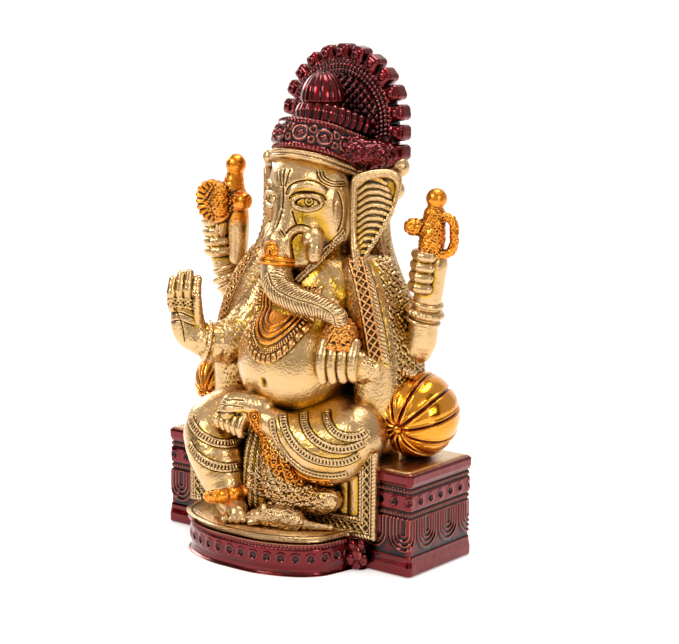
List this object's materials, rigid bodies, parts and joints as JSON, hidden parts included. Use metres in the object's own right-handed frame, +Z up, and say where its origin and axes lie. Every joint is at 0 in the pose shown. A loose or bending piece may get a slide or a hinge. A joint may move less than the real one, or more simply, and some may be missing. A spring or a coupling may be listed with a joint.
{
  "type": "ganesha idol",
  "caption": "Seated four-armed elephant-headed idol in engraved brass on a red-lacquered throne with a toothed arch, round bolsters and a rounded step.",
  "frame": {"origin": "middle of the footprint's bounding box, on the surface that the throne stands on", "axes": "+Z up, -Y the way the figure faces, +X towards the figure's left hand"},
  "size_m": [0.1376, 0.08, 0.215],
  "materials": {
    "brass": "polished with dark patina in the engraving",
    "red_lacquer": "gloss translucent lacquer over brass",
    "amber_lacquer": "gloss translucent lacquer over brass",
    "orange_lacquer": "gloss translucent lacquer over brass"
  },
  "bodies": {
    "root": {"pedestal": "red_lacquer", "footplate": "brass", "seat_front": "brass", "seat_slab": "brass", "backrest": "brass", "bolster_left": "amber_lacquer", "bolster_right": "amber_lacquer", "torso": "brass", "left_leg": "brass", "right_leg": "brass", "anklet": "orange_lacquer", "sash": "brass", "head": "brass", "trunk": "brass", "trunk_ring": "orange_lacquer", "left_ear": "brass", "right_ear": "brass", "left_tusk": "brass", "right_tusk": "brass", "crown": "red_lacquer", "crown_band": "brass", "crown_arch": "red_lacquer", "crown_dome": "red_lacquer", "front_right_arm": "brass", "front_left_arm": "brass", "rear_right_arm": "brass", "rear_left_arm": "brass", "bangles": "brass", "axe": "orange_lacquer", "noose": "orange_lacquer", "sweets": "orange_lacquer", "necklace": "orange_lacquer", "collar": "brass", "stole_left": "brass", "stole_right": "brass", "mouse": "brass"}
  },
  "joints": []
}
